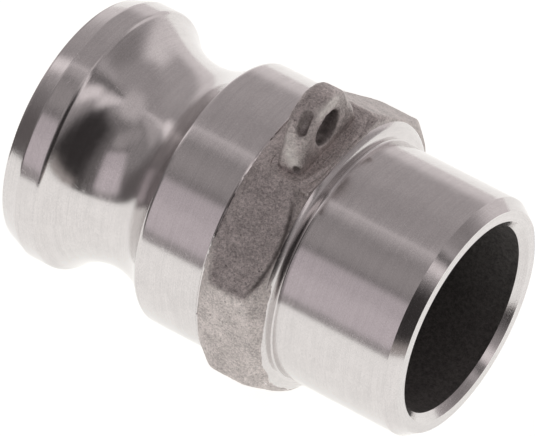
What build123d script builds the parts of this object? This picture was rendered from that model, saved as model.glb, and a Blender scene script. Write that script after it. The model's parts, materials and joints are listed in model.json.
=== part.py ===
from build123d import *

import math
import os

# Male cam-and-groove adapter, size 1 1/2 inch, with a butt-weld spigot.
# The metal is one stainless casting. Each node is one zone of it, cut where the finish or the job
# changes, and the zones meet face to face.
# Frame: origin at the centre of the seal face, +X along the flow axis to the weld end, +Z to the
# tether lug. Lengths in millimetres. Axial places are measured from the seal face.

# Flow passage
BORE_R = 19.0

# Male head and cam groove
HEAD_R = 53.35 / 2
NOSE_R = 25.3
NOSE_EDGE = 0.4
LEAD_IN_END = 4.0
GROOVE_START = 8.5
GROOVE_END = 31.3
GROOVE_MIN_R = 21.1
GROOVE_EDGE_R = 1.3
EDGE_LAND = 1.0
BARREL_END = 45.6
BARREL_EDGE = 0.25

# Wrench octagon
OCTAGON_SIDES = 8
OCTAGON_AF = 55.8
OCTAGON_END = 60.2
OCTAGON_CORNER_R = OCTAGON_AF / 2 / math.cos(math.pi / OCTAGON_SIDES)
MALE_FACE_R = 27.4
MALE_CHAMFER = 3.3
WELD_FACE_R = 26.8
WELD_CHAMFER = 3.4

# Weld spigot
SPIGOT_R = 48.3 / 2
SPIGOT_ROOT_R = 0.2
SPIGOT_END = 86.9
BEVEL_LENGTH = 2.33
LAND_OUTER_R = 22.48
LAND_INNER_R = 20.32

# Tether lug, standing on the top flat of the octagon
LUG_CENTRE_X = 53.3
LUG_THICKNESS = 5.2
LUG_EYE_R = 7.0
LUG_HOLE_R = 3.5
LUG_HOLE_HEIGHT = 5.1
LUG_FOOT_HALF_WIDTH = 10.2
LUG_FOOT_HEIGHT = 0.8
LUG_FOOT_FLARE = 1.4
LUG_RIM_R = 0.9


def turned(*outline):
    """Turn a closed half-section, drawn as (axial place, radius), about the flow axis."""
    section = Plane.XZ * make_face(Curve() + [*outline])
    return revolve(section, Axis.X, 360)


def seal_end_head():
    """Seal face, lead-in cone and the plain land of the lip."""
    split = GROOVE_START - EDGE_LAND
    outline = Polyline(
        (0, BORE_R),
        (0, NOSE_R - NOSE_EDGE),
        (NOSE_EDGE, NOSE_R),
        (LEAD_IN_END, HEAD_R),
        (split, HEAD_R),
        (split, BORE_R),
        close=True,
    )
    return turned(outline)


def groove_neck():
    """Neck under the cams: a round-bottomed groove with rolled edges."""
    start = GROOVE_START - EDGE_LAND
    end = GROOVE_END + EDGE_LAND
    middle = (GROOVE_START + GROOVE_END) / 2
    groove = ThreePointArc((GROOVE_START, HEAD_R), (middle, GROOVE_MIN_R), (GROOVE_END, HEAD_R))
    rest = Polyline(
        (GROOVE_END, HEAD_R),
        (end, HEAD_R),
        (end, BORE_R),
        (start, BORE_R),
        (start, HEAD_R),
        (GROOVE_START, HEAD_R),
    )
    section = make_face(Curve() + [groove, rest])
    edges = [v for v in section.vertices() if is_groove_edge(v)]
    section = fillet(edges, GROOVE_EDGE_R)
    return revolve(Plane.XZ * section, Axis.X, 360)


def is_groove_edge(vertex):
    """True for the two corners where the groove leaves the full diameter."""
    near = [abs(vertex.X - place) < 0.01 for place in (GROOVE_START, GROOVE_END)]
    return any(near) and abs(vertex.Y - HEAD_R) < 0.01


def machined_barrel():
    """Plain full-diameter band that seats in the coupler's mouth."""
    start = GROOVE_END + EDGE_LAND
    outline = Polyline(
        (start, BORE_R),
        (start, HEAD_R),
        (BARREL_END - BARREL_EDGE, HEAD_R),
        (BARREL_END, HEAD_R - BARREL_EDGE),
        (BARREL_END, BORE_R),
        close=True,
    )
    return turned(outline)


def wrench_band():
    """Cast octagon for a wrench, its corners turned off at both ends."""
    sketch = RegularPolygon(
        OCTAGON_AF / 2,
        OCTAGON_SIDES,
        major_radius=False,
        rotation=180 / OCTAGON_SIDES,
    )
    prism = extrude(Plane.YZ * sketch, OCTAGON_END - BARREL_END)
    prism = Pos(BARREL_END, 0, 0) * prism
    envelope = turned(
        Polyline(
            (BARREL_END, BORE_R),
            (BARREL_END, MALE_FACE_R),
            (BARREL_END + MALE_CHAMFER, OCTAGON_CORNER_R),
            (OCTAGON_END - WELD_CHAMFER, OCTAGON_CORNER_R),
            (OCTAGON_END, WELD_FACE_R),
            (OCTAGON_END, BORE_R),
            close=True,
        )
    )
    return prism & envelope


def weld_end_spigot():
    """Pipe-size spigot with a root fillet, an outer weld bevel and a flat land."""
    mouth = LAND_INNER_R - BORE_R
    root = RadiusArc(
        (OCTAGON_END, SPIGOT_R + SPIGOT_ROOT_R),
        (OCTAGON_END + SPIGOT_ROOT_R, SPIGOT_R),
        SPIGOT_ROOT_R,
    )
    rest = Polyline(
        (OCTAGON_END + SPIGOT_ROOT_R, SPIGOT_R),
        (SPIGOT_END - BEVEL_LENGTH, SPIGOT_R),
        (SPIGOT_END, LAND_OUTER_R),
        (SPIGOT_END, LAND_INNER_R),
        (SPIGOT_END - mouth, BORE_R),
        (OCTAGON_END, BORE_R),
        (OCTAGON_END, SPIGOT_R + SPIGOT_ROOT_R),
    )
    return turned(root, rest)


def ear_outline():
    """Side view of the lug: a round eye on a foot that spreads along the flat."""
    eye = Pos(0, LUG_HOLE_HEIGHT) * Circle(LUG_EYE_R)
    foot_corner = math.hypot(LUG_FOOT_HALF_WIDTH, LUG_HOLE_HEIGHT - LUG_FOOT_HEIGHT)
    lean = math.atan2(LUG_HOLE_HEIGHT - LUG_FOOT_HEIGHT, LUG_FOOT_HALF_WIDTH)
    tangent = math.acos(LUG_EYE_R / foot_corner) - lean
    touch_y = LUG_EYE_R * math.cos(tangent)
    touch_z = LUG_HOLE_HEIGHT + LUG_EYE_R * math.sin(tangent)
    skirt = make_face(
        Polyline(
            (-LUG_FOOT_HALF_WIDTH, 0),
            (-LUG_FOOT_HALF_WIDTH, LUG_FOOT_HEIGHT),
            (-touch_y, touch_z),
            (touch_y, touch_z),
            (LUG_FOOT_HALF_WIDTH, LUG_FOOT_HEIGHT),
            (LUG_FOOT_HALF_WIDTH, 0),
            close=True,
        )
    )
    below = Pos(0, -LUG_EYE_R) * Rectangle(4 * LUG_EYE_R, 2 * LUG_EYE_R)
    return eye + skirt - below


def ear_thickness(height):
    """End view of the lug: an even plate that flares out at its foot."""
    half = LUG_THICKNESS / 2
    flare = LUG_FOOT_FLARE
    right = RadiusArc((half + flare, 0), (half, flare), flare)
    left = RadiusArc((-half, flare), (-half - flare, 0), flare)
    rest = Polyline((half, flare), (half, height), (-half, height), (-half, flare))
    base = Line((-half - flare, 0), (half + flare, 0))
    return make_face(Curve() + [right, rest, left, base])


def lug():
    """Tether lug with its eye along the flow axis."""
    height = LUG_HOLE_HEIGHT + LUG_EYE_R
    reach = LUG_THICKNESS + 2 * LUG_FOOT_FLARE
    side = extrude(Plane.YZ * ear_outline(), reach / 2, both=True)
    end = extrude(Plane.XZ * ear_thickness(height), LUG_FOOT_HALF_WIDTH, both=True)
    ear = side & end
    hole = Pos(0, 0, LUG_HOLE_HEIGHT) * Rot(0, 90, 0) * Cylinder(LUG_HOLE_R, 2 * reach)
    rim = [e for e in ear.edges() if is_rim(e)]
    ear = fillet(rim, LUG_RIM_R) - hole
    return Pos(LUG_CENTRE_X, 0, OCTAGON_AF / 2) * ear


def is_rim(edge):
    """True for the two arcs that run over the top of the lug's eye."""
    middle = edge @ 0.5
    on_eye = abs(math.hypot(middle.Y, middle.Z - LUG_HOLE_HEIGHT) - LUG_EYE_R) < 0.01
    return on_eye and abs(abs(middle.X) - LUG_THICKNESS / 2) < 0.01


NODES = {
    "male_head": seal_end_head,
    "cam_groove_neck": groove_neck,
    "barrel": machined_barrel,
    "wrench_octagon": wrench_band,
    "tether_lug": lug,
    "weld_spigot": weld_end_spigot,
}

os.makedirs("parts", exist_ok=True)
for node, build in NODES.items():
    solid = build()
    export_step(solid, f"parts/{node}.step")
    print(node, round(solid.volume, 1), solid.center(), solid.is_valid)
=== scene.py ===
import itertools
import json
import math

import bmesh
import bpy
import numpy as np
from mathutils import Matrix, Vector


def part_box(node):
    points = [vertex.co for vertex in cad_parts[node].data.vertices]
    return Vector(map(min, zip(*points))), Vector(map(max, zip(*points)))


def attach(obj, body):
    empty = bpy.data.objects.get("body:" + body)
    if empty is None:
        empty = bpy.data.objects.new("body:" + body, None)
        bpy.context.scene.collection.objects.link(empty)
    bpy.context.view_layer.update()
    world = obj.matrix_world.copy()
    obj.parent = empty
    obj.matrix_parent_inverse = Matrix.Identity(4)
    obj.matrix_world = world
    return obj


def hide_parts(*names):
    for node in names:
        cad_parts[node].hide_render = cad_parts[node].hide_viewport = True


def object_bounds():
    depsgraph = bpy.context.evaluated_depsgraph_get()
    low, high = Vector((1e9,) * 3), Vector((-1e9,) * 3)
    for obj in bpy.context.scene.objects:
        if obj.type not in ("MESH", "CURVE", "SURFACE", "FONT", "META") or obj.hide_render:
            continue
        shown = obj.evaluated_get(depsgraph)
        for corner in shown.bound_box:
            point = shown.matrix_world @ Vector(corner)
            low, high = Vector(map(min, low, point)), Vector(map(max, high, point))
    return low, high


# Looks of a stainless male cam-and-groove adapter with a butt-weld spigot.
# Shapes are worked out in millimetres in the row frame (+X along the flow axis, +Z to the lug)
# and written to the meshes in metres.

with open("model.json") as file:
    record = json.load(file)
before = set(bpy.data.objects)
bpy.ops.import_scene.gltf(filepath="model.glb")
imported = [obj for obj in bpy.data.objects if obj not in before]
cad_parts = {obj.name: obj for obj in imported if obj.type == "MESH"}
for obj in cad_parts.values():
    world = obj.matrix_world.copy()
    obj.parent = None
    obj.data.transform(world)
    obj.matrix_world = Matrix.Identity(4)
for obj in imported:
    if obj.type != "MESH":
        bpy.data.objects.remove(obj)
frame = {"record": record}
cad_low, cad_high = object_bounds()

MM = 0.001
MOUNTS = {mount["name"]: mount for mount in frame["record"]["mounts"]}


def mount_radius(name):
    return MOUNTS[name]["dims"]["r_mm"]


def span(node, axis=0):
    """Lowest and highest place of a CAD node along an axis, in millimetres."""
    low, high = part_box(node)
    return low[axis] / MM, high[axis] / MM


# ---------------------------------------------------------------- driving dimensions, mm

HEAD_R = mount_radius("cam_head")
BORE_R = mount_radius("flow_bore")
SPIGOT_R = mount_radius("spigot_od")
HOLE_R = mount_radius("tether_eye")

HEAD_START, HEAD_END = span("male_head")
BARREL_START, BARREL_END = span("barrel")
OCTAGON_START, OCTAGON_END = span("wrench_octagon")
SPIGOT_START, SPIGOT_END = span("weld_spigot")
FLAT_HALF = span("wrench_octagon", 2)[1]
LUG_START, LUG_END = span("tether_lug")
LUG_TOP = span("tether_lug", 2)[1]

NOSE_R = 25.3
LEAD_IN_END = 4.0
EDGE_BREAK = 0.3

GROOVE_START = HEAD_END + 1.0
GROOVE_END = BARREL_START - 1.0
GROOVE_MIN_R = 21.1
GROOVE_EDGE_R = 1.3

OCTAGON_SIDES = 8
CORNER_R = FLAT_HALF / math.cos(math.pi / OCTAGON_SIDES)
CORNER_ROUND = 2.0
OCTAGON_ROWS = 84
SHOULDER_ROWS = 34
SHOULDER_LENGTH = 1.6

MALE_FACE_R = 27.4
MALE_CHAMFER = 3.3
MALE_TURNED_LENGTH = 0.5
MALE_BLEND = 0.9

WELD_FACE_R = 26.6
WELD_LEAN = 0.35
WELD_LEAN_ANGLE = math.radians(37)
WELD_BLEND = 0.5
DIP_DEPTH = 0.22
DIP_ANGLE = math.radians(165)
DIP_HALF = math.radians(16)

SHOULDER_R = 3.0
SHOULDER_START_R = 25.0
SHOULDER_EDGE_R = 27.45
SHOULDER_REACH = math.sqrt(SHOULDER_R**2 - (SHOULDER_EDGE_R - SHOULDER_START_R) ** 2)
SHOULDER_X = OCTAGON_END - SHOULDER_R + SHOULDER_REACH

FOLD_ANGLE = math.radians(136)
FOLD_HALF = math.radians(21)
FOLD_OFFSET = 0.15
FOLD_WIDTH = 0.36
FOLD_DEPTH = 0.25
# Strength of the painted shade and scale in the fold.
FOLD_SHADE_AND_SCALE = 0.9
RAGGED = 0.10

SPIGOT_ROOT_R = 0.35
BEVEL_LENGTH = 2.33
LAND_OUTER_R = 22.48
LAND_INNER_R = 20.32

BORE_STEP = 0.45
BORE_FADE = 1.5
MOUTH_DEPTH = 1.3

SEGMENTS = 960
STEP = 0.3
SHARP_ANGLE = math.radians(35)

FLOOR_R = 280.0

# Depths of the cast skin's slow waves and of its sand.
BORE_RELIEF = (0.10, 0.14)
BAND_RELIEF = (0.10, 0.10)
LUG_RELIEF = (0.08, 0.16)

# Seeds of the random fields, one for each place that has its own.
BORE_SEED = 40
BAND_SEED = 11
FOLD_SEED = 5
RAGGED_SEED = 31
LUG_SEED = 23
LUMP_SEED = 61
MOTTLE_SEED = 71

# Large odd numbers that scramble a lattice point and a seed into a random value.
SCRAMBLE_AXES = (374761393, 668265263, 2147483647)
SCRAMBLE_SEED = 974634777
SCRAMBLE_MIX = 1274126177


# ---------------------------------------------------------------- small numeric helpers


def smoothstep(low, high, value):
    t = np.clip((value - low) / (high - low), 0, 1)
    return t * t * (3 - 2 * t)


def smooth_min(a, b, width):
    share = np.clip(0.5 + 0.5 * (b - a) / width, 0, 1)
    return b * (1 - share) + a * share - width * share * (1 - share)


def smooth_max(a, b, width):
    return -smooth_min(-a, -b, width)


def lattice_noise(points, cell, seed):
    """Smooth random field in -1..1 with features about one cell across."""
    scaled = points / cell
    base = np.floor(scaled).astype(np.int64)
    blend = scaled - base
    blend = blend * blend * (3 - 2 * blend)
    total = np.zeros(points.shape[:-1])
    for corner in itertools.product((0, 1), repeat=3):
        mixed = ((base + np.array(corner)) * SCRAMBLE_AXES).sum(axis=-1)
        mixed = (mixed + seed * SCRAMBLE_SEED) & 0xFFFFFFFF
        mixed = ((mixed ^ (mixed >> 13)) * SCRAMBLE_MIX) & 0xFFFFFFFF
        value = ((mixed ^ (mixed >> 16)) & 0xFFFF) / 32767.5 - 1
        weight = np.where(np.array(corner), blend, 1 - blend).prod(axis=-1)
        total += value * weight
    return total


def unit_noise(points, cell, seed):
    """The same random field in 0..1."""
    return 0.5 + 0.5 * lattice_noise(points, cell, seed)


def bell(distance, width):
    """One at zero distance, fading to nothing about two widths away."""
    return np.exp(-((distance / width) ** 2))


def cast_relief(points, coarse, fine, seed):
    """Depth of a sand-like cast skin below its nominal surface, always zero or more."""
    wave = unit_noise(points, 3.2, seed)
    grain = unit_noise(points, 0.75, seed + 1)
    grit = unit_noise(points, 0.4, seed + 2)
    return coarse * wave + fine * (0.6 * grain + 0.4 * grit)


def around(x, radius, angle):
    """Points at an axial place, radius and angle from +Y towards +Z."""
    x, radius, angle = np.broadcast_arrays(x, radius, angle)
    return np.stack([x, radius * np.cos(angle), radius * np.sin(angle)], axis=-1)


# ---------------------------------------------------------------- outlines of turned zones


def line(start, end, step=STEP):
    count = max(1, int(math.ceil(math.dist(start, end) / step)))
    share = np.linspace(0, 1, count + 1)[:, None]
    return np.array(start) * (1 - share) + np.array(end) * share


def arc(centre, radius, start, end, count=8):
    """Arc in the (x, r) plane, angles in degrees from +x."""
    turn = np.radians(np.linspace(start, end, count + 1))
    return np.array(centre) + radius * np.stack([np.cos(turn), np.sin(turn)], axis=-1)


def joined(*stretches):
    """One outline from stretches, dropping each repeated point."""
    points = [stretches[0]]
    for stretch in stretches[1:]:
        same = np.allclose(points[-1][-1], stretch[0], atol=1e-6)
        points.append(stretch[1:] if same else stretch)
    return np.concatenate(points)


def head_outline():
    """Seal face, lead-in cone and lip land, from the bore's edge round to the lip."""
    nose = HEAD_START + EDGE_BREAK
    return joined(
        line((HEAD_START + EDGE_BREAK, BORE_R), (HEAD_START, BORE_R + EDGE_BREAK)),
        line((HEAD_START, BORE_R + EDGE_BREAK), (HEAD_START, NOSE_R - EDGE_BREAK)),
        arc((nose, NOSE_R - EDGE_BREAK), EDGE_BREAK, 180, 100, 4),
        line((nose, NOSE_R), (LEAD_IN_END, HEAD_R)),
        line((LEAD_IN_END, HEAD_R), (HEAD_END, HEAD_R)),
    )


def groove_outline():
    """Round-bottomed cam groove whose edges roll over into the full diameter."""
    middle = (GROOVE_START + GROOVE_END) / 2
    half = (GROOVE_END - GROOVE_START) / 2
    depth = HEAD_R - GROOVE_MIN_R
    groove_r = (half**2 + depth**2) / (2 * depth)
    centre_r = GROOVE_MIN_R + groove_r
    edge_r = HEAD_R - GROOVE_EDGE_R
    offset = math.sqrt((groove_r + GROOVE_EDGE_R) ** 2 - (centre_r - edge_r) ** 2)
    lean = math.degrees(math.atan2(centre_r - edge_r, offset))
    return joined(
        line((HEAD_END, HEAD_R), (middle - offset, HEAD_R)),
        arc((middle - offset, edge_r), GROOVE_EDGE_R, 90, lean, 12),
        arc((middle, centre_r), groove_r, 180 + lean, 360 - lean, 110),
        arc((middle + offset, edge_r), GROOVE_EDGE_R, 180 - lean, 90, 12),
        line((middle + offset, HEAD_R), (BARREL_START, HEAD_R)),
    )


def barrel_outline():
    lip = 0.25
    return joined(
        line((BARREL_START, HEAD_R), (BARREL_END - lip, HEAD_R)),
        line((BARREL_END - lip, HEAD_R), (BARREL_END, HEAD_R - lip)),
    )


def spigot_outline():
    """Root fillet, plain spigot, weld bevel, land and inner chamfer."""
    root_x = SPIGOT_START + SPIGOT_ROOT_R
    root_r = SPIGOT_R + SPIGOT_ROOT_R
    bevel_x = SPIGOT_END - BEVEL_LENGTH
    mouth_x = SPIGOT_END - (LAND_INNER_R - BORE_R)
    return joined(
        arc((root_x, root_r), SPIGOT_ROOT_R, 180, 270, 8),
        line((root_x, SPIGOT_R), (bevel_x, SPIGOT_R)),
        line((bevel_x, SPIGOT_R), (SPIGOT_END, LAND_OUTER_R)),
        line((SPIGOT_END, LAND_OUTER_R), (SPIGOT_END, LAND_INNER_R)),
        line((SPIGOT_END, LAND_INNER_R), (mouth_x, BORE_R)),
    )


# ---------------------------------------------------------------- meshes

# Places in the list of materials that a ring is given.
TURNED_SLOT = 0
BORE_SLOT = 1
CAST_SLOT = 2


def new_object(name, points, faces, materials, face_slots=None, shade_and_scale=None):
    """A mesh object from points in millimetres.

    The share per point is above zero where painted shade and scale darken the metal, below zero where
    metal is rubbed.
    """
    mesh = bpy.data.meshes.new(name)
    mesh.from_pydata((points * MM).tolist(), [], faces)
    for material in materials:
        mesh.materials.append(material)
    if face_slots is not None:
        mesh.polygons.foreach_set("material_index", np.asarray(face_slots, np.int32))
    if shade_and_scale is not None:
        layer = mesh.attributes.new("shade_and_scale", "FLOAT", "POINT")
        layer.data.foreach_set("value", np.asarray(shade_and_scale, np.float32))
    obj = bpy.data.objects.new(name, mesh)
    bpy.context.scene.collection.objects.link(obj)
    work = bmesh.new()
    work.from_mesh(mesh)
    bmesh.ops.recalc_face_normals(work, faces=work.faces)
    work.to_mesh(mesh)
    work.free()
    mesh.shade_smooth()
    return obj


def ring_faces(rows, columns):
    """Quads of a grid that closes on itself in both directions."""
    row = np.arange(rows)[:, None]
    column = np.arange(columns)[None, :]
    next_row = (row + 1) % rows
    next_column = (column + 1) % columns
    corners = [
        row * columns + column,
        next_row * columns + column,
        next_row * columns + next_column,
        row * columns + next_column,
    ]
    return np.stack(np.broadcast_arrays(*corners), axis=-1).reshape(-1, 4).tolist()


def bore_rows(start, end, angle):
    """Rough cast wall of the flow passage, from one end of a zone to the other."""
    x = line((start, 0), (end, 0), BORE_STEP)[:, :1]
    fade_weld = smoothstep(0, BORE_FADE, SPIGOT_END - MOUTH_DEPTH - x)
    fade_male = smoothstep(0, BORE_FADE, x - HEAD_START - EDGE_BREAK)
    depth = cast_relief(around(x, BORE_R, angle), *BORE_RELIEF, BORE_SEED)
    return np.broadcast_to(x, depth.shape), BORE_R + fade_weld * fade_male * depth


def swept_ring(name, x, r, slots, materials, shade_and_scale=None):
    """A closed ring: an outer skin given as rows of points, and the cast bore inside it.

    Where the skin already ends on the bore, the bore leaves out its own row there.
    """
    angle = 2 * np.pi * np.arange(SEGMENTS)[None, :] / SEGMENTS
    bore_x, bore_r = bore_rows(x[-1, 0], x[0, 0], angle)
    bore_slots = np.full(bore_x.shape, BORE_SLOT)
    if np.allclose(r[0], BORE_R):
        bore_x, bore_r, bore_slots = bore_x[:-1], bore_r[:-1], bore_slots[:-1]
    else:
        bore_slots[-1] = slots[0]
    if np.allclose(r[-1], BORE_R):
        bore_x, bore_r, bore_slots = bore_x[1:], bore_r[1:], bore_slots[1:]
        slots = np.concatenate([slots[:-1], bore_slots[:1]])
    x = np.concatenate([x, bore_x])
    r = np.concatenate([r, bore_r])
    slots = np.concatenate([slots, bore_slots])
    if shade_and_scale is not None:
        shade_and_scale = np.concatenate([shade_and_scale, np.zeros(bore_x.shape)]).ravel()
    points = around(x, r, angle).reshape(-1, 3)
    faces = ring_faces(len(x), SEGMENTS)
    obj = new_object(name, points, faces, materials, slots.ravel(), shade_and_scale)
    obj.data.set_sharp_from_angle(angle=SHARP_ANGLE)
    return obj


def turned_ring(name, outline, materials):
    """A ring with the same outline all the way round."""
    shape = (len(outline), SEGMENTS)
    x = np.broadcast_to(outline[:, :1], shape)
    r = np.broadcast_to(outline[:, 1:], shape)
    return swept_ring(name, x, r, np.full(shape, TURNED_SLOT), materials)


def octagon_radius(angle):
    """Radius of a flat-topped octagon with rounded corners."""
    side = 2 * math.pi / OCTAGON_SIDES
    off_flat = np.abs((angle + side / 2) % side - side / 2)
    centre = (FLAT_HALF - CORNER_ROUND) / math.cos(side / 2)
    tangent = math.atan2(centre * math.sin(side / 2), FLAT_HALF)
    off_corner = side / 2 - off_flat
    inside = np.maximum(CORNER_ROUND**2 - (centre * np.sin(off_corner)) ** 2, 0)
    rounded = centre * np.cos(off_corner) + np.sqrt(inside)
    return np.where(off_flat > tangent, rounded, FLAT_HALF / np.cos(off_flat))


def shoulder_outline_r(x):
    """Radius that the lathe left on the rounded shoulder, endless where the tool did not reach."""
    sunk = 1 - np.clip((OCTAGON_END - x) / SHOULDER_R, 0, 1)
    rounded = SHOULDER_START_R + SHOULDER_R * np.sqrt(1 - sunk**2)
    return np.where(x < SHOULDER_X, np.inf, rounded)


def octagon_skin():
    """Wrench band: cast flats and corners, turned at both ends.

    The casting sat a little askew when its shoulder was turned, so the cast cone on the weld side
    leans, and one flat is a little hollow at that edge. The fold below the lug is painted darker:
    painted shade, together with real scale.
    """
    angle = 2 * np.pi * np.arange(SEGMENTS)[None, :] / SEGMENTS
    x = np.concatenate([
        np.linspace(OCTAGON_START, OCTAGON_END - SHOULDER_LENGTH, OCTAGON_ROWS, endpoint=False),
        OCTAGON_END - SHOULDER_LENGTH * np.linspace(1, 0, SHOULDER_ROWS) ** 2,
    ])[:, None]
    x, angle = np.broadcast_arrays(x, angle)
    flat_r = octagon_radius(angle)
    male_cone = MALE_FACE_R + (x - OCTAGON_START) * (CORNER_R - MALE_FACE_R) / MALE_CHAMFER
    lean = WELD_LEAN * np.cos(angle - WELD_LEAN_ANGLE)
    dip = DIP_DEPTH * bell(angle - DIP_ANGLE, DIP_HALF)
    weld_cone = WELD_FACE_R + lean - dip + OCTAGON_END - x
    shoulder = shoulder_outline_r(x)

    place = around(x, flat_r, angle)
    nominal = smooth_min(smooth_min(flat_r, weld_cone, WELD_BLEND), male_cone, MALE_BLEND)
    near_fold = smoothstep(FOLD_HALF, 0.7 * FOLD_HALF, np.abs(angle - FOLD_ANGLE))
    fold = bell(flat_r - weld_cone + FOLD_OFFSET, FOLD_WIDTH) * near_fold
    fold = fold * smoothstep(-0.9, 0.0, lattice_noise(place, 1.6, FOLD_SEED))
    cast_r = nominal - cast_relief(place, *BAND_RELIEF, BAND_SEED) - FOLD_DEPTH * fold
    ragged = RAGGED * lattice_noise(place, 2.6, RAGGED_SEED)
    turned_weld = shoulder + ragged < cast_r
    turned_male = (x < OCTAGON_START + MALE_TURNED_LENGTH + ragged) & (male_cone < flat_r + 0.1)
    r = np.where(turned_male, np.minimum(male_cone, flat_r), np.minimum(cast_r, shoulder))
    r[0] = MALE_FACE_R
    r[-1] = SHOULDER_START_R
    slots = np.where(turned_weld | turned_male, TURNED_SLOT, CAST_SLOT)
    # The fold's mask also darkens its colour: painted shade, together with real scale.
    return x, r, slots, FOLD_SHADE_AND_SCALE * fold


# ---------------------------------------------------------------- tether lug as a distance field

LUG_CELL = 0.16
LUG_X = (LUG_START + LUG_END) / 2
LUG_THICKNESS = 5.3
LUG_HOLE_Y = -0.4
LUG_HOLE_Z = MOUNTS["tether_eye"]["pos_m"][2] / MM
LUG_EYE_R = LUG_TOP - LUG_HOLE_Z
LUG_FOOT_HALF = 9.4
LUG_FOOT_RISE = 0.8
LUG_RIM_ROUND = 1.4
LUG_SKIN_GAIN = 0.2
LUG_HOLE_INNER_R = HOLE_R - 0.2
LUMP_DEPTH = 0.18
LUMP_CELL = 2.1

# How softly each shape runs into the rest.
FOOT_END_BLEND = 1.0
HOLE_BLEND = 0.5
POCKET_BLEND = 0.4
FOOT_BLEND = 0.6
RIDGE_BLEND = 0.35
CREVICE_BLEND = 0.25
PIT_BLEND = 0.25

# Round the foot, in millimetres out from the plate: a crevice, then a ridge, then a line of painted
# shade and scale.
CREVICE_REACH = 0.55
CREVICE_R = 0.32
CREVICE_RISE = 0.15
RIDGE_REACH = 1.25
RIDGE_R = 0.48
SHADE_LINE_REACH = 1.9

# Rods that cut or colour the lug: start, end and radius.
POCKET = ((LUG_X + 0.9, -6.3, 36.3), (LUG_X + 0.9, -4.3, 38.8), 0.85)
PIT = ((LUG_X + 1.6, -9.5, 29.4), (LUG_X + 1.8, -9.0, 28.9), 0.40)
RUBBED_RIM = ((LUG_X - 1.2, -7.6, 34.0), (LUG_X + 0.6, -9.2, 30.4), 1.1)
RUBBED_BROW = ((LUG_X + 2.6, -2.8, 38.6), (LUG_X + 2.6, 1.8, 38.0), 0.9)

# The patch of skin that comes with the lug, a little under the flat, and the grid round them both.
SKIRT_HALF_X = 6.0
SKIRT_HALF_Y = 11.3
SKIRT_DEPTH = 1.4
SKIRT_SUNK = 0.3
GRID_MARGIN = np.array([0.6, 0.5, 0.6])


def ear_outline_distance(y, z):
    """Distance to the lug's side view: a round eye on a spreading foot."""
    height = LUG_HOLE_Z - FLAT_HALF - LUG_FOOT_RISE
    eye = np.hypot(y, z - LUG_HOLE_Z) - LUG_EYE_R
    corner = math.hypot(LUG_FOOT_HALF, height)
    lean = math.acos(LUG_EYE_R / corner) - math.atan2(height, LUG_FOOT_HALF)
    slope = np.abs(y) * math.cos(lean) + (z - LUG_HOLE_Z) * math.sin(lean) - LUG_EYE_R
    top = z - (LUG_HOLE_Z + LUG_EYE_R * math.sin(lean))
    foot = smooth_max(np.maximum(slope, top), np.abs(y) - LUG_FOOT_HALF, FOOT_END_BLEND)
    return np.minimum(eye, foot)


def capsule(points, start, end, radius):
    """Distance to a rod with round ends."""
    start, end = np.array(start), np.array(end)
    along = np.clip(((points - start) @ (end - start)) / ((end - start) @ (end - start)), 0, 1)
    return np.linalg.norm(points - start - along[..., None] * (end - start), axis=-1) - radius


def lug_plate(points):
    """Distance to the plate of the lug before its hole is cut."""
    plan = ear_outline_distance(points[..., 1], points[..., 2]) + LUG_RIM_ROUND
    thick = np.abs(points[..., 0] - LUG_X) - LUG_THICKNESS / 2 + LUG_RIM_ROUND
    outside = np.hypot(np.maximum(plan, 0), np.maximum(thick, 0))
    return outside + np.minimum(np.maximum(plan, thick), 0) - LUG_RIM_ROUND - LUG_SKIN_GAIN


def lug_cavities(points):
    """Distances to the eye's hole, the pocket on its rim and the pit at its foot."""
    hole = np.hypot(points[..., 1] - LUG_HOLE_Y, points[..., 2] - LUG_HOLE_Z) - LUG_HOLE_INNER_R
    return hole, capsule(points, *POCKET), capsule(points, *PIT)


def lug_distance(points):
    """Distance to the cast lug and to the skin of the flat that it grows from."""
    x = points[..., 0] - LUG_X
    y, z = points[..., 1], points[..., 2]
    hole, pocket, pit = lug_cavities(points)
    plate = smooth_max(lug_plate(points), -hole, HOLE_BLEND)
    plate = smooth_max(plate, -pocket, POCKET_BLEND)
    level = FLAT_HALF - SKIRT_SUNK
    solid = smooth_min(plate, z - level, FOOT_BLEND)
    ridge = np.hypot(plate - RIDGE_REACH, z - level) - RIDGE_R
    solid = smooth_min(solid, ridge, RIDGE_BLEND)
    crevice = CREVICE_R - np.hypot(plate - CREVICE_REACH, z - level - CREVICE_RISE)
    solid = smooth_max(solid, crevice, CREVICE_BLEND)
    solid = smooth_max(solid, -pit, PIT_BLEND)
    lumps = unit_noise(points, LUMP_CELL, LUMP_SEED)
    solid = solid + LUMP_DEPTH * lumps + cast_relief(points, *LUG_RELIEF, LUG_SEED)
    wall_x = np.abs(x) - SKIRT_HALF_X
    wall_y = np.abs(y) - SKIRT_HALF_Y
    floor = (FLAT_HALF - SKIRT_DEPTH) - z
    sides = np.maximum(wall_x, wall_y)
    return np.maximum(np.maximum(solid, floor), np.maximum(sides, z - LUG_TOP))


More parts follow.
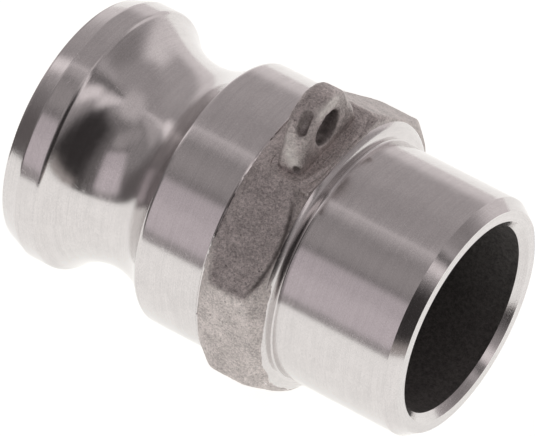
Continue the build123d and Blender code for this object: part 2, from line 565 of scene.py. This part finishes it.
def lug_shade_and_scale(points):
    """Painted shade and scale in the hollows, and below zero the spots that handling has rubbed
    bright.
    """
    hole, pocket, pit = lug_cavities(points)
    mottle = unit_noise(points, 1.1, MOTTLE_SEED)
    # The walls of the hole and the pocket are darkened, more so deeper in: painted shade, together
    # with real scale.
    opening = np.maximum(smoothstep(0.55, 0.20, hole), 0.8 * smoothstep(0.45, 0.10, pocket))
    opening = opening * (0.45 + 0.55 * mottle)
    depth = smoothstep(LUG_X + 2.6, LUG_X + 1.0, points[..., 0])
    opening = opening * (0.55 + 0.45 * depth)
    off_plate = lug_plate(points)
    # The crevice round the foot and the line outside its ridge are darkened: painted shade, together
    # with real scale.
    crevice = bell(off_plate - CREVICE_REACH, 0.26)
    crevice = np.maximum(crevice, 0.8 * bell(off_plate - SHADE_LINE_REACH, 0.30))
    crevice = crevice * smoothstep(FLAT_HALF + 1.0, FLAT_HALF + 0.4, points[..., 2])
    # The pit is darkened too, and all of it goes into one share: painted shade, together with real
    # scale.
    hollow = np.maximum(opening, 0.55 * smoothstep(0.5, 0.25, pit))
    shade_and_scale = np.maximum(hollow, 0.85 * crevice)
    off_rubbed = np.minimum(capsule(points, *RUBBED_RIM), capsule(points, *RUBBED_BROW))
    rubbed = smoothstep(1.0, -0.4, off_rubbed) * (0.35 + 0.65 * mottle)
    return shade_and_scale - rubbed * (1 - np.minimum(2 * shade_and_scale, 1))


def surface_net(field, low, cell):
    """Closed quad mesh on the zero level of a sampled distance field."""
    total = np.zeros((*field.shape, 3))
    count = np.zeros(field.shape, int)
    quads = []
    unit = np.eye(3, dtype=int)
    for axis in range(3):
        step = unit[axis]
        near = field[tuple(slice(0, size - s) for size, s in zip(field.shape, step))]
        far = field[tuple(slice(s, size) for size, s in zip(field.shape, step))]
        edge = np.argwhere((near < 0) != (far < 0))
        first, second = near[tuple(edge.T)], far[tuple(edge.T)]
        crossing = edge + step * (first / (first - second))[:, None]
        a, b = unit[(axis + 1) % 3], unit[(axis + 2) % 3]
        cells = [edge, edge - a, edge - a - b, edge - b]
        for place in cells:
            np.add.at(total, tuple(place.T), crossing)
            np.add.at(count, tuple(place.T), 1)
        quads.append(np.stack(cells, axis=1))
    used = count > 0
    index = np.full(field.shape, -1)
    index[used] = np.arange(used.sum())
    points = low + cell * (total[used] / count[used][:, None])
    faces = [index[tuple(quad.transpose(2, 0, 1))] for quad in quads]
    return points, np.concatenate(faces).tolist()


def lug_mesh(materials):
    """The lug and its skirt of flat skin, sampled on a grid a little larger than both."""
    low = np.array([LUG_X - SKIRT_HALF_X, -SKIRT_HALF_Y, FLAT_HALF - SKIRT_DEPTH]) - GRID_MARGIN
    high = np.array([LUG_X + SKIRT_HALF_X, SKIRT_HALF_Y, LUG_TOP]) + GRID_MARGIN
    counts = np.ceil((high - low) / LUG_CELL).astype(int) + 1
    axes = [low[i] + LUG_CELL * np.arange(counts[i]) for i in range(3)]
    grid = np.stack(np.meshgrid(*axes, indexing="ij"), axis=-1)
    points, faces = surface_net(lug_distance(grid), low, LUG_CELL)
    return new_object("tether_lug_cast", points, faces, materials, shade_and_scale=lug_shade_and_scale(points))


# ---------------------------------------------------------------- node helpers


class Graph:
    """Short ways to add shader nodes and join them."""

    def __init__(self, tree):
        self.tree = tree
        tree.nodes.clear()

    def add(self, kind, inputs=None, **settings):
        made = self.tree.nodes.new(kind)
        for key, value in settings.items():
            setattr(made, key, value)
        for key, value in (inputs or {}).items():
            self.put(made.inputs[key], value)
        return made

    def put(self, socket, value):
        if isinstance(value, bpy.types.NodeSocket):
            self.tree.links.new(value, socket)
        else:
            socket.default_value = value

    def math(self, operation, a, b=0.0, c=0.0):
        made = self.add("ShaderNodeMath", {0: a, 1: b, 2: c}, operation=operation)
        return made.outputs[0]

    def ramp(self, value, low, high, out_low=0.0, out_high=1.0):
        """Smooth step from out_low to out_high."""
        inputs = {"Value": value, "From Min": low, "From Max": high}
        inputs.update({"To Min": out_low, "To Max": out_high})
        made = self.add("ShaderNodeMapRange", inputs, interpolation_type="SMOOTHSTEP")
        return made.outputs["Result"]

    def vector(self, x, y, z):
        return self.add("ShaderNodeCombineXYZ", {"X": x, "Y": y, "Z": z}).outputs[0]

    def noise(self, vector, scale, detail=3.0, roughness=0.5):
        inputs = {"Vector": vector, "Scale": scale, "Detail": detail, "Roughness": roughness}
        return self.add("ShaderNodeTexNoise", inputs).outputs[0]

    def mix(self, share, a, b):
        made = self.add("ShaderNodeMix", data_type="RGBA")
        self.put(made.inputs[0], share)
        self.put(made.inputs[6], a)
        self.put(made.inputs[7], b)
        return made.outputs[2]

    def position(self):
        """Place on the object in millimetres, then its x, its angle round the axis and its radius."""
        place = self.add("ShaderNodeTexCoord").outputs["Object"]
        scaled = self.add("ShaderNodeVectorMath", {0: place}, operation="SCALE")
        scaled.inputs["Scale"].default_value = 1 / MM
        parts = self.add("ShaderNodeSeparateXYZ", {0: scaled.outputs[0]}).outputs
        angle = self.math("ARCTAN2", parts["Z"], parts["Y"])
        square_y = self.math("MULTIPLY", parts["Y"], parts["Y"])
        square = self.math("MULTIPLY_ADD", parts["Z"], parts["Z"], square_y)
        return scaled.outputs[0], parts["X"], angle, self.math("SQRT", square)


def new_material(name):
    material = bpy.data.materials.new(name)
    material.use_nodes = True
    return material, Graph(material.node_tree)


def finish_material(graph, shader):
    graph.add("ShaderNodeOutputMaterial", {"Surface": shader})


# ---------------------------------------------------------------- materials

STEEL_DARK = (0.585, 0.561, 0.558, 1)
STEEL_LIGHT = (0.715, 0.686, 0.682, 1)
SCRATCH = (0.84, 0.82, 0.82, 1)
CAST_DARK = (0.275, 0.249, 0.243, 1)
CAST_LIGHT = (0.765, 0.700, 0.680, 1)
# Colour painted into the small cast pits: painted shade.
CAST_PIT = (0.10, 0.09, 0.088, 1)
RUBBED = (0.86, 0.83, 0.79, 1)
# Dark colour for hollows and creases: painted shade, together with real scale.
SCALE = (0.075, 0.064, 0.060, 1)
BORE_DARK = (0.095, 0.089, 0.086, 1)
BORE_LIGHT = (0.215, 0.202, 0.195, 1)
PAPER = (0.86, 0.86, 0.86, 1)
PAPER_GLOW = (0.985, 1.0, 0.965, 1)
FACED_ROUGHNESS = 0.02


def hairlines(g, x, length, lean, seed):
    """Thin short scratches on the unrolled surface, all leaning one way."""
    along = g.math("MULTIPLY_ADD", length, math.sin(lean), g.math("MULTIPLY", x, math.cos(lean)))
    across = g.math("MULTIPLY_ADD", length, math.cos(lean), g.math("MULTIPLY", x, -math.sin(lean)))
    place = g.vector(g.math("MULTIPLY", along, 0.35), g.math("MULTIPLY", across, 8.0), seed)
    return g.ramp(g.noise(place, 1.0, 1.0), 0.72, 0.78)


def turned_steel():
    """Fine-turned stainless: faint tool marks, soft clouds and a few hairline scratches."""
    material, g = new_material("turned_steel")
    place, x, angle, radius = g.position()
    marks = g.noise(g.vector(x, g.math("MULTIPLY", angle, 0.35), radius), 7.0, 4.0, 0.65)
    bands = g.noise(g.vector(x, g.math("MULTIPLY", angle, 0.2), radius), 1.1, 2.0)
    cloud = g.noise(place, 0.35, 3.0)
    grain = g.noise(place, 4.0, 2.0, 0.7)
    tone = g.math("MULTIPLY_ADD", marks, 0.28, g.math("MULTIPLY", bands, 0.14))
    tone = g.math("MULTIPLY_ADD", cloud, 0.14, tone)
    tone = g.math("MULTIPLY_ADD", grain, 0.44, tone)
    length = g.math("MULTIPLY", angle, SPIGOT_R)
    one_way = hairlines(g, x, length, lean=0.5, seed=3.0)
    other_way = hairlines(g, x, length, lean=2.2, seed=8.0)
    nicks = g.math("MAXIMUM", one_way, other_way)
    colour = g.mix(g.ramp(tone, 0.36, 0.64), STEEL_DARK, STEEL_LIGHT)
    colour = g.mix(g.math("MULTIPLY", nicks, 0.45), colour, SCRATCH)
    faced = g.math("MULTIPLY", g.ramp(x, SHOULDER_X - 0.3, SHOULDER_X), FACED_ROUGHNESS)
    faced = g.math("MULTIPLY", faced, g.ramp(x, OCTAGON_END + 0.1, OCTAGON_END + 0.3, 1.0, 0.0))
    rough = g.math("MULTIPLY_ADD", nicks, 0.08, g.ramp(tone, 0.3, 0.7, 0.12, 0.21))
    rough = g.math("ADD", rough, faced)
    height = g.math("MULTIPLY_ADD", grain, 0.5, g.math("MULTIPLY_ADD", nicks, -0.6, marks))
    bump = g.add("ShaderNodeBump", {"Height": height, "Strength": 0.24, "Distance": 0.00002})
    inputs = {"Base Color": colour, "Metallic": 1.0, "Roughness": rough, "Normal": bump.outputs[0]}
    inputs.update({"Anisotropic": 0.45, "Anisotropic Rotation": 0.25})
    shader = g.add("ShaderNodeBsdfPrincipled", inputs)
    tangent = g.add("ShaderNodeTangent", direction_type="RADIAL", axis="X")
    g.put(shader.inputs["Tangent"], tangent.outputs[0])
    finish_material(g, shader.outputs[0])
    return material


def cast_steel():
    """Shot-blasted investment casting: matt, sandy, with small pits painted dark and hollows darkened
    by painted shade and scale.
    """
    material, g = new_material("cast_steel")
    place, _, _, _ = g.position()
    sand = g.noise(place, 1.8, 3.0, 0.75)
    grit = g.noise(place, 4.2, 2.0, 0.6)
    cloud = g.noise(place, 0.30, 3.0)
    cells = g.add("ShaderNodeTexVoronoi", {"Vector": place, "Scale": 0.42})
    pits = g.ramp(cells.outputs["Distance"], 0.03, 0.11, 1.0, 0.0)
    tone = g.math("MULTIPLY_ADD", sand, 0.45, g.math("MULTIPLY", grit, 0.33))
    tone = g.math("MULTIPLY_ADD", cloud, 0.22, tone)
    colour = g.mix(g.ramp(tone, 0.34, 0.66), CAST_DARK, CAST_LIGHT)
    # The pits are painted dark as well as dented: painted shade in the dents.
    colour = g.mix(g.math("MULTIPLY", pits, 0.6), colour, CAST_PIT)
    # The attribute darkens hollows, crevices and the fold towards the SCALE colour: painted shade,
    # together with real scale. Below zero it lightens rubbed spots.
    attribute = g.add("ShaderNodeAttribute", attribute_name="shade_and_scale").outputs["Fac"]
    shade_and_scale = g.math("MAXIMUM", attribute, 0.0)
    rubbed = g.math("MAXIMUM", g.math("MULTIPLY", attribute, -1.0), 0.0)
    colour = g.mix(g.math("MULTIPLY", rubbed, 0.75), colour, RUBBED)
    colour = g.mix(g.math("MULTIPLY", shade_and_scale, 0.85), colour, SCALE)
    height = g.math("MULTIPLY_ADD", grit, 0.8, sand)
    height = g.math("SUBTRACT", height, pits)
    bump = g.add("ShaderNodeBump", {"Height": height, "Strength": 0.85, "Distance": 0.00016})
    rough = g.math("MULTIPLY_ADD", shade_and_scale, 0.2, g.ramp(tone, 0.3, 0.7, 0.40, 0.54))
    inputs = {"Base Color": colour, "Metallic": 1.0, "Roughness": rough}
    inputs["Normal"] = bump.outputs[0]
    finish_material(g, g.add("ShaderNodeBsdfPrincipled", inputs).outputs[0])
    return material


def bore_skin():
    """Dark, unmachined wall of the flow passage."""
    material, g = new_material("bore_skin")
    place, _, _, _ = g.position()
    sand = g.noise(place, 1.4, 4.0, 0.7)
    grit = g.noise(place, 4.0, 2.0, 0.6)
    tone = g.math("MULTIPLY_ADD", sand, 0.6, g.math("MULTIPLY", grit, 0.4))
    colour = g.mix(g.ramp(tone, 0.35, 0.65), BORE_DARK, BORE_LIGHT)
    bump = g.add("ShaderNodeBump", {"Height": tone, "Strength": 0.7, "Distance": 0.0002})
    inputs = {"Base Color": colour, "Metallic": 0.4, "Roughness": g.ramp(tone, 0.3, 0.7, 0.55, 0.7)}
    inputs["Normal"] = bump.outputs[0]
    finish_material(g, g.add("ShaderNodeBsdfPrincipled", inputs).outputs[0])
    return material


def paper():
    """Pale table top that fades out at its rim."""
    material, g = new_material("paper")
    place = g.add("ShaderNodeTexCoord").outputs["Object"]
    reach = g.add("ShaderNodeVectorMath", {0: place}, operation="LENGTH").outputs["Value"]
    fade = g.ramp(reach, FLOOR_R * MM * 0.92, FLOOR_R * MM * 0.99)
    inputs = {"Base Color": PAPER, "Roughness": 0.9}
    inputs.update({"Emission Color": PAPER_GLOW, "Emission Strength": 0.78})
    matt = g.add("ShaderNodeBsdfPrincipled", inputs)
    clear = g.add("ShaderNodeBsdfTransparent")
    both = g.add("ShaderNodeMixShader", {0: fade, 1: matt.outputs[0], 2: clear.outputs[0]})
    finish_material(g, both.outputs[0])
    return material


# ---------------------------------------------------------------- pieces


def place_piece(piece, node):
    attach(piece, "root")
    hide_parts(node)


TURNED_ZONES = [
    ("head_turned", head_outline, "male_head"),
    ("groove_turned", groove_outline, "cam_groove_neck"),
    ("barrel_turned", barrel_outline, "barrel"),
    ("spigot_turned", spigot_outline, "weld_spigot"),
]


def build_fitting():
    turned, cast, bore = turned_steel(), cast_steel(), bore_skin()
    for name, outline, node in TURNED_ZONES:
        ring = turned_ring(name, outline(), [turned, bore])
        place_piece(ring, node)
    x, r, slots, shade_and_scale = octagon_skin()
    band = swept_ring("octagon_cast", x, r, slots, [turned, bore, cast], shade_and_scale)
    place_piece(band, "wrench_octagon")
    lug = lug_mesh([cast])
    place_piece(lug, "tether_lug")


# ---------------------------------------------------------------- studio

# Soft panels round the table: azimuth and half width, lowest and highest elevation, edge softness,
# all in degrees, and radiance. Azimuth 0 is +X and 90 is +Y.
PANELS = [
    ("front_high", -88, 42, 60, 76, 5, (0.235, 0.218, 0.219)),
    ("front_dim", -80, 14, -30, 62, 5, (0.155, 0.143, 0.143)),
    ("front_dark", -45, 28, -30, 62, 9, (0.040, 0.036, 0.036)),
    ("front_sill", -46, 20, -30, 0, 4, (0.40, 0.36, 0.345)),
    ("left_dim", -152, 27, -30, 68, 6, (0.28, 0.26, 0.262)),
    ("left_low", -153, 27, -30, 18, 8, (0.14, 0.126, 0.126)),
    ("left_high", -134, 20, 48, 62, 4, (0.37, 0.342, 0.344)),
    ("card_rim", -108, 25, 41, 45, 3, (0.20, 0.183, 0.186)),
    ("front_left_card", -110, 18, 0, 39, 2.5, (0.66, 0.598, 0.622)),
    ("card_shade", -110, 16, 24, 39, 5, (0.575, 0.520, 0.542)),
    ("end_strip_low", 172, 5, -12, 32, 3, (1.05, 0.98, 0.985)),
    ("end_strip_high", 179, 6, 32, 76, 4, (0.92, 0.86, 0.865)),
    ("end_glow", -174, 9, 26, 70, 5, (0.48, 0.445, 0.448)),
    ("right_strip_low", 1, 6.5, 17, 44, 3, (1.0, 0.93, 0.935)),
    ("right_strip_high", -9, 10, 44, 82, 5, (0.88, 0.82, 0.825)),
    ("right_gap", 11, 4.5, 14, 74, 3, (0.15, 0.139, 0.14)),
    ("right_line", 21, 3, 16, 50, 2, (0.50, 0.465, 0.47)),
    ("right_dim", 40, 14, 12, 42, 8, (0.28, 0.258, 0.26)),
    ("back_wall", 120, 36, -20, 46, 10, (0.45, 0.418, 0.42)),
    ("back_right_card", 78, 15, -20, 38, 8, (0.78, 0.73, 0.732)),
    ("back_glow", 118, 34, -20, 8, 8, (0.80, 0.748, 0.75)),
    ("overhead_left", -165, 35, 70, 100, 6, (0.50, 0.465, 0.468)),
    ("overhead", 0, 180, 75, 100, 7, (0.60, 0.558, 0.56)),
]
BASE_LIGHT = (0.39, 0.361, 0.364, 1)


def studio_light():
    """A world of soft panels for the metal to reflect, plain white where the camera sees it."""
    world = bpy.data.worlds.new("studio")
    world.use_nodes = True
    bpy.context.scene.world = world
    g = Graph(world.node_tree)
    ray = g.add("ShaderNodeTexCoord").outputs["Generated"]
    parts = g.add("ShaderNodeSeparateXYZ", {0: ray}).outputs
    azimuth = g.math("DEGREES", g.math("ARCTAN2", parts["Y"], parts["X"]))
    elevation = g.math("DEGREES", g.math("ARCSINE", parts["Z"]))
    colour = BASE_LIGHT
    for name, centre, half, low, high, soft, light in PANELS:
        away = g.math("ABSOLUTE", g.math("SUBTRACT", azimuth, float(centre)))
        away = g.math("MINIMUM", away, g.math("SUBTRACT", 360.0, away))
        across = g.ramp(away, half - soft, half + soft, 1.0, 0.0)
        above = g.ramp(elevation, low - soft, low + soft)
        below = g.ramp(elevation, high - soft, high + soft, 1.0, 0.0)
        share = g.math("MULTIPLY", across, g.math("MULTIPLY", above, below))
        share.node.label = name
        colour = g.mix(share, colour, (*light, 1))
    seen = g.add("ShaderNodeLightPath").outputs["Is Camera Ray"]
    colour = g.mix(seen, colour, (1, 1, 1, 1))
    light = g.add("ShaderNodeBackground", {"Color": colour, "Strength": 1.0})
    g.add("ShaderNodeOutputWorld", {"Surface": light.outputs[0]})


def table():
    bpy.ops.mesh.primitive_circle_add(vertices=96, radius=FLOOR_R * MM, fill_type="NGON")
    floor = bpy.context.object
    floor.name = "table"
    floor.location = ((cad_low.x + cad_high.x) / 2, 0, cad_low.z)
    floor.data.materials.append(paper())


# ---------------------------------------------------------------- camera

AZIMUTH = math.radians(35.13)
ELEVATION = math.radians(47.6)
DISTANCE = 1150.5
LENS = 420.3
SENSOR_WIDTH = 36
AIM_RIGHT = -0.85
AIM_UP = -3.53


def camera():
    """Long lens from the photograph's side, aimed a little off the middle of the fitting."""
    right = Vector((math.cos(AZIMUTH), math.sin(AZIMUTH), 0))
    back = Vector((math.sin(AZIMUTH), -math.cos(AZIMUTH), 0)) * math.cos(ELEVATION)
    back.z = math.sin(ELEVATION)
    up = back.cross(right)
    data = bpy.data.cameras.new("camera")
    data.lens = LENS
    data.sensor_width = SENSOR_WIDTH
    data.clip_start = 0.01
    data.clip_end = 20
    eye = bpy.data.objects.new("camera", data)
    bpy.context.scene.collection.objects.link(eye)
    aim = (cad_low + cad_high) / 2 + (right * AIM_RIGHT + up * AIM_UP) * MM
    eye.location = aim + back * DISTANCE * MM
    eye.rotation_mode = "QUATERNION"
    eye.rotation_quaternion = (-back).to_track_quat("-Z", "Y")
    bpy.context.scene.camera = eye


build_fitting()
studio_light()
table()
camera()

bpy.context.scene.view_settings.view_transform = "Standard"
